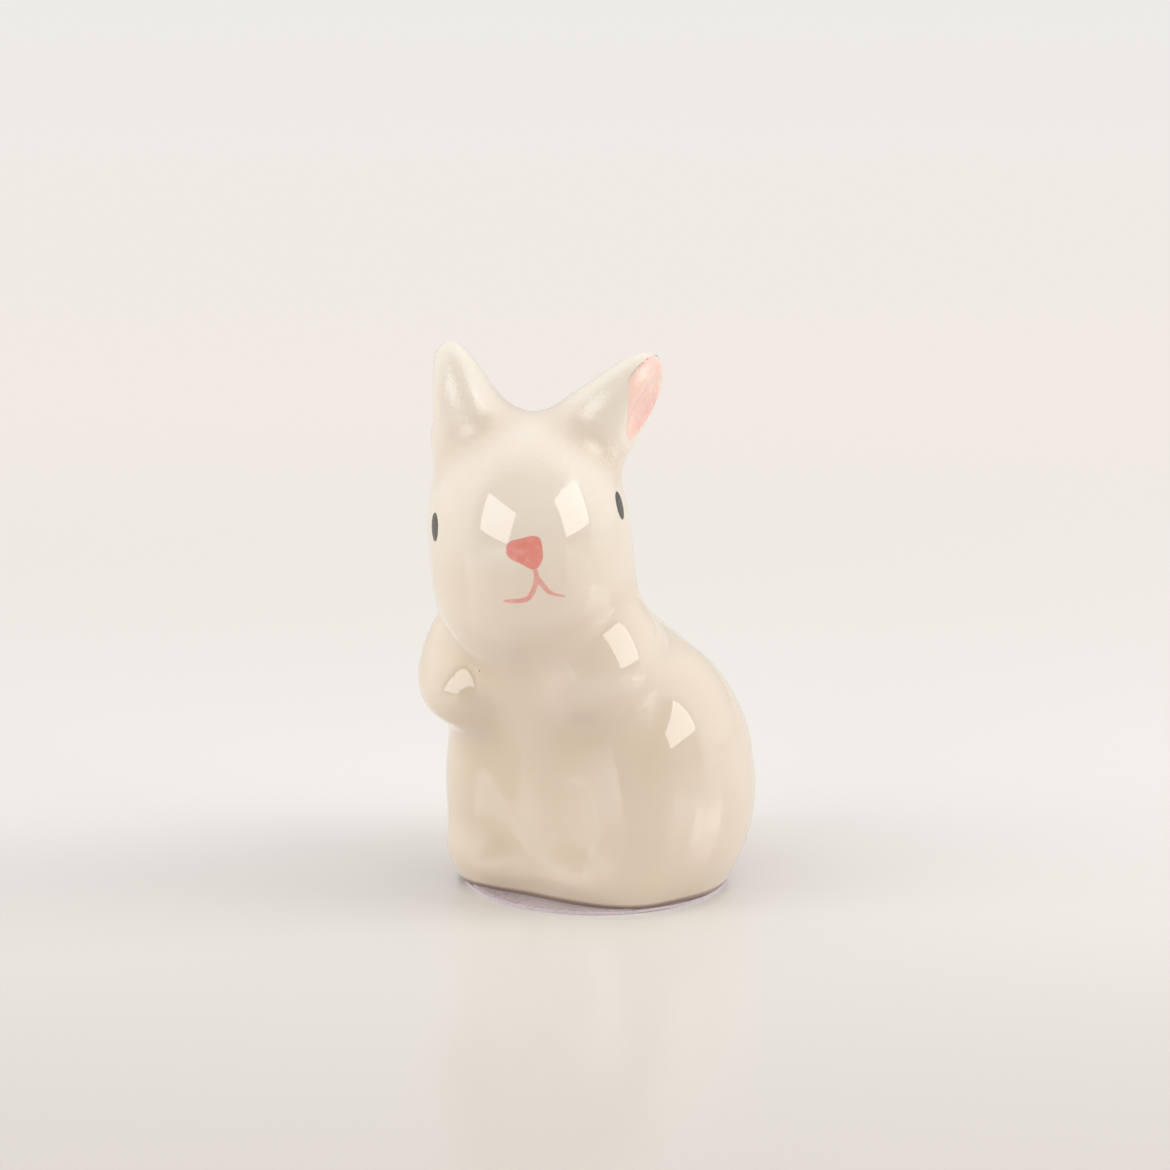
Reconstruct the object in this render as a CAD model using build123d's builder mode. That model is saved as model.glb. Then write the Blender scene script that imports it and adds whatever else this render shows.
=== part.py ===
from build123d import *

import os

# Seated ceramic rabbit, about 53 mm tall, with its forepaws held to its chest
# and its head turned to its own left. Torso and head are hollow castings that
# open into each other at the neck. Ears, arms, haunches, hind feet and tail
# are luted on with slip. Eyes, nose, mouth and ear linings are thin enamel,
# and a round self-adhesive label under the foot ring closes the kiln vent.
#
# Millimetres, +Z up. The body faces -Y and the rabbit's own left is +X. The
# origin is the centre of the label's underside, where the figurine rests.

# Label under the foot
LABEL_RADIUS = 12.5
LABEL_THICKNESS = 0.25
ADHESIVE_MARGIN = 0.35
ADHESIVE_THICKNESS = 0.1
SOLE = LABEL_THICKNESS + ADHESIVE_THICKNESS

# Clay wall, foot ring and vent
WALL = 2.2
FLOOR_THICKNESS = 2.6
FOOT_RING_WIDTH = 2.4
FOOT_RING_DEPTH = 0.6
VENT_RADIUS = 2.5
OVERRUN = 1.0

# Torso. A row of shares gives a level's height, how far its widest line lies
# behind the origin, its half width, and its reach forward and back.
TORSO_HEIGHT = 31.2
TORSO_HALF_WIDTH = 12.9
TORSO_HALF_LENGTH = 14.2
TORSO_SHARES = (
    (0.00, 0.19, 0.77, 0.86, 0.76),
    (0.03, 0.20, 0.84, 0.88, 0.86),
    (0.09, 0.20, 0.91, 0.90, 0.95),
    (0.19, 0.20, 0.97, 0.92, 1.04),
    (0.32, 0.18, 1.00, 0.92, 1.06),
    (0.45, 0.10, 0.97, 0.89, 1.08),
    (0.58, -0.02, 0.88, 0.86, 0.99),
    (0.71, -0.20, 0.77, 0.78, 0.83),
    (0.82, -0.36, 0.69, 0.76, 0.64),
    (0.91, -0.48, 0.56, 0.69, 0.48),
    (0.97, -0.54, 0.38, 0.51, 0.33),
    (1.00, -0.58, 0.00, 0.00, 0.00),
)

# Head, in its own frame: X to its left, face towards -Y, Z to its crown. Its
# place is given in shares of the torso's sizes.
HEAD_PLACE_SHARES = (-0.01, -0.725, 1.128)
HEAD_TURN = 34.6
HEAD_ROLL = -6.2
HEAD_HALF_WIDTH = 9.3
HEAD_HALF_LENGTH = 10.0
HEAD_HALF_HEIGHT = 10.9
HEAD_SHARES = (
    (-1.00, -0.06, 0.00, 0.00, 0.00),
    (-0.95, -0.06, 0.34, 0.34, 0.32),
    (-0.82, -0.05, 0.65, 0.64, 0.58),
    (-0.60, -0.03, 0.93, 0.90, 0.80),
    (-0.34, 0.00, 1.00, 1.00, 0.90),
    (-0.05, 0.00, 1.00, 1.04, 0.93),
    (0.25, 0.00, 0.97, 1.00, 0.94),
    (0.52, 0.00, 0.88, 0.87, 0.87),
    (0.75, 0.00, 0.69, 0.67, 0.69),
    (0.92, 0.00, 0.41, 0.40, 0.41),
    (1.00, 0.00, 0.00, 0.00, 0.00),
)

# Ears. Each is rooted in the head at shares of its sizes, leans outward by
# its own angle, and opens sideways with a turn towards the face.
EAR_LENGTH = 12.4
EAR_HALF_WIDTH = 3.8
EAR_HALF_THICKNESS = 2.65
EAR_SHARES = (
    (0.00, 0.00, 1.05, 1.50, 1.40),
    (0.22, 0.00, 1.08, 1.56, 1.35),
    (0.41, 0.00, 1.05, 1.50, 1.20),
    (0.57, 0.00, 1.00, 1.36, 0.96),
    (0.73, 0.00, 0.86, 1.16, 0.77),
    (0.88, 0.00, 0.60, 0.75, 0.54),
    (0.97, 0.00, 0.30, 0.36, 0.28),
    (1.00, 0.00, 0.00, 0.00, 0.00),
)
LEFT_EAR_ROOT_SHARES = (0.45, 0.12, 0.585)
LEFT_EAR_LEAN_ANGLE = 47.0
LEFT_EAR_FORWARD_TURN = 30.0
RIGHT_EAR_ROOT_SHARES = (-0.32, 0.12, 0.53)
RIGHT_EAR_LEAN_ANGLE = 12.0
RIGHT_EAR_FORWARD_TURN = 4.0

# Hollow of an ear. A row of shares gives height along the ear, how far the
# ear's open face lies out there, and the hollow's half width and depth.
HOLLOW_HALF_WIDTH = 2.4
HOLLOW_DEPTH = 1.4
HOLLOW_SHARES = (
    (0.38, 1.56, 0.00, 0.00),
    (0.42, 1.51, 0.42, 0.50),
    (0.52, 1.41, 0.86, 0.90),
    (0.66, 1.25, 1.00, 1.00),
    (0.79, 1.03, 0.80, 0.84),
    (0.90, 0.70, 0.44, 0.50),
    (0.97, 0.42, 0.00, 0.00),
)

# Arms. Each bends along an arc from shoulder to elbow to paw tip, placed in
# shares of the torso's sizes. The radius is given in shares along the arc.
LEFT_ARM_PLACE_SHARES = ((0.46, -0.40, 0.82), (0.59, -0.60, 0.735), (0.34, -0.83, 0.74))
RIGHT_ARM_PLACE_SHARES = ((-0.64, -0.42, 0.85), (-0.71, -0.64, 0.655), (-0.36, -0.98, 0.65))
ARM_RADIUS = 4.0
ARM_SHARES = (
    (0.00, 0.00),
    (0.03, 0.46),
    (0.12, 0.82),
    (0.30, 0.98),
    (0.55, 1.00),
    (0.78, 0.86),
    (0.92, 0.62),
    (0.98, 0.32),
    (1.00, 0.00),
)

# Haunches and hind feet are domes on the sole, drawn in at the foot and placed
# in shares of the torso's half width and half length. The right haunch mirrors
# the left one, and the right hind foot is set a little further forward.
HAUNCH_PLACE_SHARES = (0.62, 0.00, 0.0)
HAUNCH_HEIGHT = 22.4
HAUNCH_HALF_WIDTH = 6.6
HAUNCH_HALF_LENGTH = 9.4
HAUNCH_SHARES = (
    (0.00, 0.00, 0.48, 0.48, 0.48),
    (0.04, 0.00, 0.65, 0.65, 0.65),
    (0.11, 0.00, 0.82, 0.82, 0.82),
    (0.21, 0.00, 0.94, 0.94, 0.94),
    (0.38, 0.00, 1.00, 1.00, 1.00),
    (0.60, 0.00, 0.93, 0.93, 0.93),
    (0.78, 0.00, 0.77, 0.77, 0.77),
    (0.91, 0.00, 0.53, 0.53, 0.53),
    (0.98, 0.00, 0.24, 0.24, 0.24),
    (1.00, 0.00, 0.00, 0.00, 0.00),
)
LEFT_FOOT_PLACE_SHARES = (0.40, -0.35, 0.0)
RIGHT_FOOT_PLACE_SHARES = (-0.47, -0.42, 0.0)
FOOT_HEIGHT = 5.2
FOOT_HALF_WIDTH = 6.2
FOOT_HALF_LENGTH = 5.2
FOOT_SHARES = (
    (0.00, 0.00, 0.64, 0.64, 0.64),
    (0.11, 0.00, 0.78, 0.78, 0.78),
    (0.25, 0.00, 0.91, 0.91, 0.91),
    (0.43, 0.00, 0.99, 0.99, 0.99),
    (0.62, 0.00, 0.95, 0.95, 0.95),
    (0.79, 0.00, 0.79, 0.79, 0.79),
    (0.91, 0.00, 0.54, 0.54, 0.54),
    (0.98, 0.00, 0.25, 0.25, 0.25),
    (1.00, 0.00, 0.00, 0.00, 0.00),
)

# Tail, a ball placed in shares of the torso's sizes
TAIL_PLACE_SHARES = (0.0, 1.17, 0.22)
TAIL_RADIUS = 3.1

# Enamel. Eyes and nose lie at shares of the head's height; the outlines of
# nose and mouth are points about the nose, in shares of their half sizes.
ENAMEL_THICKNESS = 0.12
LEFT_EYE_BEARING = 70.0
RIGHT_EYE_BEARING = 62.0
EYE_HEIGHT_SHARE = 0.19
EYE_HALF_WIDTH = 0.85
EYE_HALF_HEIGHT = 1.3
NOSE_HEIGHT_SHARE = 0.01
NOSE_HALF_WIDTH = 1.65
NOSE_HALF_HEIGHT = 1.6
NOSE_SHARES = (
    (-1.00, 0.22),
    (-0.70, 0.74),
    (-0.08, 0.86),
    (0.52, 0.92),
    (0.88, 0.76),
    (0.98, 0.30),
    (0.94, -0.40),
    (0.42, -1.00),
    (-0.20, -0.62),
    (-0.75, -0.28),
)
MOUTH_HALF_WIDTH = 3.2
MOUTH_DROP = 4.7
MOUTH_STROKE = 0.44
MOUTH_SHARES = (
    (
        (0.19, -0.28),
        (0.25, -0.52),
        (0.13, -0.74),
        (-0.05, -0.90),
        (-0.30, -0.94),
        (-0.77, -0.92),
    ),
    (
        (0.25, -0.52),
        (0.40, -0.67),
        (0.57, -0.84),
        (0.83, -0.93),
        (1.06, -0.99),
    ),
)

QUARTER_TURN = 90
HALF_TURN = 180


def on_torso(shares):
    """Returns the place at shares of the torso's half width, half length and height."""
    return (
        shares[0] * TORSO_HALF_WIDTH,
        shares[1] * TORSO_HALF_LENGTH,
        shares[2] * TORSO_HEIGHT + SOLE,
    )


def on_head(shares):
    """Returns the place at shares of the head's half sizes, in the head's frame."""
    return (
        shares[0] * HEAD_HALF_WIDTH,
        shares[1] * HEAD_HALF_LENGTH,
        shares[2] * HEAD_HALF_HEIGHT,
    )


def mirrored(place):
    """Returns a place of the rabbit's left side on its right side."""
    return (-place[0], place[1], place[2])


def scaled(shares, height, half_width, half_length):
    """Turns rows of five shares into levels for egg_stack."""
    return [
        (h * height, m * half_length, w * half_width, f * half_length, b * half_length)
        for h, m, w, f, b in shares
    ]


def inside(levels, height, half_width, half_length):
    """Shrinks levels of a form with these sizes, so that they leave the clay's wall."""
    up, across, along = (1 - WALL / size for size in (height, half_width, half_length))
    return [(h * up, m, w * across, f * along, b * along) for h, m, w, f, b in levels]


def egg_section(plane, half_width, front, back):
    """Returns an outline of two half ellipses that meet across a plane's origin."""
    with BuildSketch(plane) as section:
        with BuildLine():
            EllipticalCenterArc((0, 0), half_width, back, 0, arc_size=HALF_TURN)
            EllipticalCenterArc((0, 0), half_width, front, HALF_TURN, arc_size=HALF_TURN)
        make_face()
    return section.sketch


def egg_stack(frame, levels, grow=0.0):
    """Lofts egg-shaped sections up a frame's Z axis, every radius changed by grow.

    A level is height, middle, half width, reach forward and reach back. One
    with no width is a pole, and grow moves it along the axis instead.
    """
    sections = []
    for height, middle, half_width, front, back in levels:
        if half_width == 0:
            outward = grow if sections else -grow
            sections.append(Vertex(*frame.from_local_coords((0, middle, height + outward))))
            continue
        centre = frame.from_local_coords((0, middle, height))
        plane = Plane(centre, x_dir=frame.x_dir, z_dir=frame.z_dir)
        sections.append(egg_section(plane, half_width + grow, front + grow, back + grow))
    with BuildPart() as form:
        loft(sections)
    return form.part


def arm_form(place_shares):
    """Lofts round sections along the arc through shoulder, elbow and paw tip."""
    shoulder, elbow, paw = (Vector(on_torso(shares)) for shares in place_shares)
    with BuildLine() as path:
        ThreePointArc(shoulder, elbow, paw)
    arc = path.edges()[0]
    hinge = (elbow - shoulder).cross(paw - elbow)
    sections = []
    for along, radius_share in ARM_SHARES:
        if radius_share == 0:
            sections.append(Vertex(*arc.position_at(along)))
            continue
        plane = Plane(arc.position_at(along), x_dir=hinge, z_dir=arc.tangent_at(along))
        radius = ARM_RADIUS * radius_share
        sections.append(egg_section(plane, radius, radius, radius))
    with BuildPart() as form:
        loft(sections)
    return form.part


def luted(form, *carriers):
    """Returns a form that is cut to sit on the pieces that carry it."""
    with BuildPart() as piece:
        add(form)
        for carrier in carriers:
            add(carrier, mode=Mode.SUBTRACT)
    return piece


# Whole forms of torso and head, and the hollows that their walls leave
torso_plane = Plane.XY.offset(SOLE)
torso_sizes = (TORSO_HEIGHT, TORSO_HALF_WIDTH, TORSO_HALF_LENGTH)
torso_levels = scaled(TORSO_SHARES, *torso_sizes)
torso_form = egg_stack(torso_plane, torso_levels)
torso_hollow = egg_stack(torso_plane, inside(torso_levels, *torso_sizes))

head_place = (
    Location(on_torso(HEAD_PLACE_SHARES)) * Rotation(0, 0, HEAD_TURN) * Rotation(0, HEAD_ROLL, 0)
)
head_sizes = (HEAD_HALF_HEIGHT, HEAD_HALF_WIDTH, HEAD_HALF_LENGTH)
head_levels = scaled(HEAD_SHARES, *head_sizes)
head_form = egg_stack(Plane(head_place), head_levels)
head_hollow = egg_stack(Plane(head_place), inside(head_levels, *head_sizes))
head_skin = egg_stack(Plane(head_place), head_levels, ENAMEL_THICKNESS)


def ear_plane(root_shares, lean, opening):
    """Returns an ear's plane, Z along the ear and -Y out of its open face."""
    root = Location(on_head(root_shares))
    return Plane(head_place * root * Rotation(0, lean, 0) * Rotation(0, 0, opening))


def ear_pieces(plane):
    """Returns an ear and the enamel that lines its hollow."""
    form = egg_stack(plane, scaled(EAR_SHARES, EAR_LENGTH, EAR_HALF_WIDTH, EAR_HALF_THICKNESS))
    levels = [
        (
            height * EAR_LENGTH,
            -out * EAR_HALF_THICKNESS,
            width * HOLLOW_HALF_WIDTH,
            depth * HOLLOW_DEPTH,
            depth * HOLLOW_DEPTH,
        )
        for height, out, width, depth in HOLLOW_SHARES
    ]
    hollow = egg_stack(plane, levels)
    with BuildPart() as lining:
        add(hollow)
        add(egg_stack(plane, levels, -ENAMEL_THICKNESS), mode=Mode.SUBTRACT)
        add(form, mode=Mode.INTERSECT)
        add(head_form, mode=Mode.SUBTRACT)
    return luted(form, head_form, hollow), lining


def face_plane(bearing, height_share):
    """Returns the head's upright plane that looks out at a bearing from its face."""
    level = Location((0, 0, height_share * HEAD_HALF_HEIGHT))
    return Plane(head_place * level * Rotation(QUARTER_TURN, bearing, 0))


def enamel(outline, plane):
    """Returns the film that an outline drawn on a plane of the head leaves on the clay."""
    with BuildPart() as film:
        add(outline)
        extrude(amount=HEAD_HALF_WIDTH + HEAD_HALF_LENGTH, dir=plane.z_dir)
        add(head_skin, mode=Mode.INTERSECT)
        add(head_form, mode=Mode.SUBTRACT)
    return film


# Label and its adhesive
with BuildPart() as base_label:
    with BuildSketch():
        Circle(LABEL_RADIUS)
    extrude(amount=LABEL_THICKNESS)

with BuildPart() as label_adhesive:
    with BuildSketch(Plane.XY.offset(LABEL_THICKNESS)):
        Circle(LABEL_RADIUS - ADHESIVE_MARGIN)
    extrude(amount=ADHESIVE_THICKNESS)

# Torso: walls down to a flat floor, a foot ring under it, and the vent
with BuildPart() as chamber:
    add(torso_hollow)
    split(bisect_by=torso_plane.offset(FLOOR_THICKNESS), keep=Keep.TOP)

sole_middle, sole_half_width, sole_front, sole_back = torso_levels[0][1:]
with BuildPart() as torso:
    add(torso_form)
    add(chamber.part, mode=Mode.SUBTRACT)
    add(head_hollow, mode=Mode.SUBTRACT)
    with BuildSketch(torso_plane):
        with Locations((0, sole_middle)):
            Ellipse(sole_half_width - FOOT_RING_WIDTH, min(sole_front, sole_back) - FOOT_RING_WIDTH)
    extrude(amount=FOOT_RING_DEPTH, mode=Mode.SUBTRACT)
    with BuildSketch(torso_plane):
        with Locations((0, sole_middle)):
            Circle(VENT_RADIUS)
    extrude(amount=FLOOR_THICKNESS + OVERRUN, mode=Mode.SUBTRACT)

with BuildPart() as head:
    add(head_form)
    add(head_hollow, mode=Mode.SUBTRACT)
    add(torso_form, mode=Mode.SUBTRACT)

left_ear, left_ear_blush = ear_pieces(
    ear_plane(LEFT_EAR_ROOT_SHARES, LEFT_EAR_LEAN_ANGLE, QUARTER_TURN - LEFT_EAR_FORWARD_TURN)
)
right_ear, right_ear_blush = ear_pieces(
    ear_plane(RIGHT_EAR_ROOT_SHARES, -RIGHT_EAR_LEAN_ANGLE, RIGHT_EAR_FORWARD_TURN - QUARTER_TURN)
)

# Limbs and tail, each cut to sit on the pieces that carry it
haunch_place = on_torso(HAUNCH_PLACE_SHARES)
haunch_levels = scaled(HAUNCH_SHARES, HAUNCH_HEIGHT, HAUNCH_HALF_WIDTH, HAUNCH_HALF_LENGTH)
left_haunch_form = egg_stack(Plane(haunch_place), haunch_levels)
right_haunch_form = egg_stack(Plane(mirrored(haunch_place)), haunch_levels)
left_haunch = luted(left_haunch_form, torso_form)
right_haunch = luted(right_haunch_form, torso_form)

foot_levels = scaled(FOOT_SHARES, FOOT_HEIGHT, FOOT_HALF_WIDTH, FOOT_HALF_LENGTH)
left_foot_form = egg_stack(Plane(on_torso(LEFT_FOOT_PLACE_SHARES)), foot_levels)
right_foot_form = egg_stack(Plane(on_torso(RIGHT_FOOT_PLACE_SHARES)), foot_levels)
left_hind_foot = luted(left_foot_form, torso_form, left_haunch_form)
right_hind_foot = luted(right_foot_form, torso_form, right_haunch_form)

left_arm = luted(arm_form(LEFT_ARM_PLACE_SHARES), torso_form, head_form, left_haunch_form)
right_arm = luted(arm_form(RIGHT_ARM_PLACE_SHARES), torso_form, head_form, right_haunch_form)

with BuildPart() as tail_ball:
    with Locations(on_torso(TAIL_PLACE_SHARES)):
        Sphere(TAIL_RADIUS)
tail = luted(tail_ball.part, torso_form)

# Face
eyes = []
for bearing in (LEFT_EYE_BEARING, -RIGHT_EYE_BEARING):
    eye_plane = face_plane(bearing, EYE_HEIGHT_SHARE)
    with BuildSketch(eye_plane) as eye_outline:
        Ellipse(EYE_HALF_WIDTH, EYE_HALF_HEIGHT)
    eyes.append(enamel(eye_outline.sketch, eye_plane))
left_eye, right_eye = eyes

muzzle_plane = face_plane(0, NOSE_HEIGHT_SHARE)
with BuildSketch(muzzle_plane) as nose_outline:
    with BuildLine():
        Spline(*[(x * NOSE_HALF_WIDTH, y * NOSE_HALF_HEIGHT) for x, y in NOSE_SHARES], periodic=True)
    make_face()
nose = enamel(nose_outline.sketch, muzzle_plane)

with BuildSketch(muzzle_plane) as mouth_outline:
    for stroke_shares in MOUTH_SHARES:
        points = [(x * MOUTH_HALF_WIDTH, y * MOUTH_DROP) for x, y in stroke_shares]
        with BuildLine():
            Spline(*points)
        trace(line_width=MOUTH_STROKE)
        with Locations(points[0], points[-1]):
            Circle(MOUTH_STROKE / 2)
    add(nose_outline.sketch_local, mode=Mode.SUBTRACT)
mouth = enamel(mouth_outline.sketch, muzzle_plane)

pieces = {
    "torso": torso,
    "head": head,
    "left_ear": left_ear,
    "right_ear": right_ear,
    "left_arm": left_arm,
    "right_arm": right_arm,
    "left_haunch": left_haunch,
    "right_haunch": right_haunch,
    "left_hind_foot": left_hind_foot,
    "right_hind_foot": right_hind_foot,
    "tail": tail,
    "left_eye": left_eye,
    "right_eye": right_eye,
    "nose": nose,
    "mouth": mouth,
    "left_ear_blush": left_ear_blush,
    "right_ear_blush": right_ear_blush,
    "base_label": base_label,
    "label_adhesive": label_adhesive,
}

os.makedirs("parts", exist_ok=True)
for label, piece in pieces.items():
    piece.part.label = label
    export_step(piece.part, f"parts/{label}.step")
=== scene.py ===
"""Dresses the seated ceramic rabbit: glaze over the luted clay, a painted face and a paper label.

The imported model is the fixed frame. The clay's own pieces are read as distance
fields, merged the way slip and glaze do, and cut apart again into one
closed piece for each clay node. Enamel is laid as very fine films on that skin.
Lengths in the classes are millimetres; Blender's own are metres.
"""

from __future__ import annotations

import logging
import math
from collections.abc import Iterator, Mapping, Sequence
from dataclasses import dataclass, field
from enum import Enum
from typing import Any

import bpy
import numpy as np
import openvdb
from mathutils import Matrix, Vector
from mathutils.bvhtree import BVHTree


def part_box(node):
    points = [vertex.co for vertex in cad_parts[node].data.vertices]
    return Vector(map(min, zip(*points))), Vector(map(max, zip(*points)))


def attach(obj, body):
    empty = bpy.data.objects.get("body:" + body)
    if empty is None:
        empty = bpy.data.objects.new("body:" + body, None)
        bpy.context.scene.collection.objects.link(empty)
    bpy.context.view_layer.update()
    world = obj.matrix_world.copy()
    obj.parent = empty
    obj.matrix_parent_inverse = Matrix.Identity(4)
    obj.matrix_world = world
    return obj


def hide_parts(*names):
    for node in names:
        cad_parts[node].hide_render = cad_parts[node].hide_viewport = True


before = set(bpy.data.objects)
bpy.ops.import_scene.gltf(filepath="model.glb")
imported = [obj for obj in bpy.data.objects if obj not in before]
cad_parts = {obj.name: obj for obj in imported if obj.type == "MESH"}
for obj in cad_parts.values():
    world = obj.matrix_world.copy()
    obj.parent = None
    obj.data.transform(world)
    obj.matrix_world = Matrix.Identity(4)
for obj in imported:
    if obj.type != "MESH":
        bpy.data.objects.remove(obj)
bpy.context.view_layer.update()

LOG = logging.getLogger("rabbit")
MM = 0.001
BODY = "root"
# crease depth on the skin: the glaze's colour reads it for glaze pooling and painted shade in
# creases, and painted light on ridges
POOL_AND_SHADE = "glaze_pool_and_shade"
COVER = "enamel_cover"

Colour = tuple[float, float, float]
Span = tuple[float, float]
Array = np.ndarray
BLACK: Colour = (0.0, 0.0, 0.0)
NO_NODE = 99
UNKNOWN_NODE = -1
LEAST_SLOPE = 0.01
TINY = 1e-9


def tone(red: int, green: int, blue: int) -> Colour:
    """Turns a display colour into the linear one that a shader takes.

    Args:
        red: Red, from 0 to 255.
        green: Green, from 0 to 255.
        blue: Blue, from 0 to 255.

    Returns:
        The three linear shares.
    """
    shares = (channel / 255 for channel in (red, green, blue))
    return tuple(s / 12.92 if s <= 0.04045 else ((s + 0.055) / 1.055) ** 2.4 for s in shares)


def eased(values: Array, low: float, high: float) -> Array:
    """Steps smoothly from 0 to 1.

    Args:
        values: Any numbers.
        low: Where the step starts.
        high: Where the step ends.

    Returns:
        The share of the step that each value has made.
    """
    share = np.clip((values - low) / (high - low), 0, 1)
    return share * share * (3 - 2 * share)


class Slot(Enum):
    """The record's material slots."""

    GLAZE = "glaze"
    EYE = "eye_enamel"
    NOSE = "nose_enamel"
    MOUTH = "mouth_enamel"
    EAR = "ear_enamel"
    PAPER = "label_paper"
    GLUE = "label_glue"


class Value:
    """A node's output that takes part in Python expressions."""

    def __init__(self, graph: Graph, socket: bpy.types.NodeSocket) -> None:
        """Keeps the socket with its graph."""
        self.graph = graph
        self.socket = socket

    def __add__(self, other: Operand) -> Value:
        """Adds."""
        return self.graph.math("ADD", self, other)

    def __radd__(self, other: Operand) -> Value:
        """Adds to a number."""
        return self.graph.math("ADD", other, self)

    def __sub__(self, other: Operand) -> Value:
        """Subtracts."""
        return self.graph.math("SUBTRACT", self, other)

    def __rsub__(self, other: Operand) -> Value:
        """Subtracts from a number."""
        return self.graph.math("SUBTRACT", other, self)

    def __mul__(self, other: Operand) -> Value:
        """Multiplies."""
        return self.graph.math("MULTIPLY", self, other)

    def __rmul__(self, other: Operand) -> Value:
        """Multiplies a number."""
        return self.graph.math("MULTIPLY", other, self)


Operand = Value | float


class Graph:
    """Writes nodes into one tree."""

    def __init__(self, tree: bpy.types.NodeTree) -> None:
        """Keeps the tree."""
        self.tree = tree

    def node(
        self,
        kind: str,
        settings: Mapping[str, Any] | None = None,
        sockets: Mapping[str | int, Any] | None = None,
    ) -> bpy.types.Node:
        """Adds a node.

        Args:
            kind: The node's type.
            settings: Its own properties by name.
            sockets: Values or links for its inputs, by name or number.

        Returns:
            The node.
        """
        made = self.tree.nodes.new(kind)
        for name, setting in (settings or {}).items():
            setattr(made, name, setting)
        for key, given in (sockets or {}).items():
            if isinstance(given, Value):
                self.tree.links.new(given.socket, made.inputs[key])
            else:
                made.inputs[key].default_value = given
        return made

    def out(self, node: bpy.types.Node, output: str | int = 0) -> Value:
        """Returns one of a node's outputs as a value."""
        return Value(self, node.outputs[output])

    def place(self) -> Value:
        """Returns the object coordinates."""
        return self.out(self.node("ShaderNodeTexCoord"), "Object")

    def stored(self, name: str) -> Value:
        """Returns a number that the mesh stores under a name."""
        return self.out(self.node("ShaderNodeAttribute", {"attribute_name": name}), "Fac")

    def parts(self, vector: Value) -> tuple[Value, Value, Value]:
        """Splits a vector into its three parts."""
        node = self.node("ShaderNodeSeparateXYZ", None, {0: vector})
        return self.out(node, 0), self.out(node, 1), self.out(node, 2)

    def rays(self, *kinds: str) -> Value:
        """Says whether a ray is of one of some kinds.

        Args:
            kinds: The names that Light Path has for them.

        Returns:
            1 where it is, and 0 elsewhere.
        """
        path = self.node("ShaderNodeLightPath")
        any_of, *rest = (self.out(path, kind) for kind in kinds)
        for kind in rest:
            any_of = self.math("MAXIMUM", any_of, kind)
        return any_of

    def math(self, operation: str, *operands: Operand) -> Value:
        """Adds a Math node.

        Args:
            operation: What it does.
            operands: Its inputs in order.

        Returns:
            Its result.
        """
        node = self.node("ShaderNodeMath", {"operation": operation}, dict(enumerate(operands)))
        return self.out(node)

    def vector(
        self, operation: str, *operands: Value | Sequence[float], output: str = "Vector"
    ) -> Value:
        """Adds a Vector Math node.

        Args:
            operation: What it does.
            operands: Its vectors in order.
            output: The output's name.

        Returns:
            Its result.
        """
        settings = {"operation": operation}
        node = self.node("ShaderNodeVectorMath", settings, dict(enumerate(operands)))
        return self.out(node, output)

    def step(self, value: Value, low: float, high: float) -> Value:
        """Steps smoothly from 0 to 1 as a value goes from low to high.

        Args:
            value: The value.
            low: Where the step starts.
            high: Where the step ends.

        Returns:
            The share of the step.
        """
        settings = {"interpolation_type": "SMOOTHSTEP"}
        sockets = {"Value": value, "From Min": low, "From Max": high}
        return self.out(self.node("ShaderNodeMapRange", settings, sockets))

    def rise(self, height: Value, span: Span) -> Value:
        """Steps smoothly from 0 to 1 over a span of heights in millimetres."""
        return self.step(height, *(edge * MM for edge in span))

    def mix(self, share: Operand, first: Value | Colour, second: Value | Colour) -> Value:
        """Mixes two colours.

        Args:
            share: The second colour's share.
            first: The first colour.
            second: The second colour.

        Returns:
            The mixed colour.
        """
        sides = {6: first, 7: second}
        filled = {k: c if isinstance(c, Value) else (*c, 1.0) for k, c in sides.items()}
        node = self.node("ShaderNodeMix", {"data_type": "RGBA"}, {0: share, **filled})
        return self.out(node, 2)

    def noise(self, position: Value, grain: float, detail: float = 2.0, seed: float = 0.0) -> Value:
        """Adds a noise of a given grain.

        Args:
            position: Where it is read, in metres.
            grain: The size of its lumps in millimetres.
            detail: How many finer octaves it has.
            seed: Which of many such noises it is.

        Returns:
            The noise, about 0 to 1.
        """
        sockets = {"Vector": position, "W": seed, "Scale": 1 / (grain * MM), "Detail": detail}
        return self.out(self.node("ShaderNodeTexNoise", {"noise_dimensions": "4D"}, sockets))


def new_material(name: str) -> tuple[bpy.types.Material, Graph]:
    """Starts a material.

    Args:
        name: Its name.

    Returns:
        The material and the graph of its emptied tree.
    """
    material = bpy.data.materials.new(name)
    material.use_nodes = True
    material.node_tree.nodes.clear()
    return material, Graph(material.node_tree)


def finish_surface(graph: Graph, sockets: Mapping[str, Any], bump: Value, height: float) -> None:
    """Ends a material in a Principled shader.

    Args:
        graph: The material's graph.
        sockets: The shader's values and links.
        bump: A relief from 0 to 1.
        height: The relief's full height in millimetres.
    """
    relief = {"Strength": 1.0, "Distance": height * MM, "Height": bump}
    normal = graph.out(graph.node("ShaderNodeBump", None, relief))
    filled = {**sockets, "Normal": normal}
    shader = graph.out(graph.node("ShaderNodeBsdfPrincipled", None, filled))
    graph.node("ShaderNodeOutputMaterial", None, {"Surface": shader})


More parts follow.
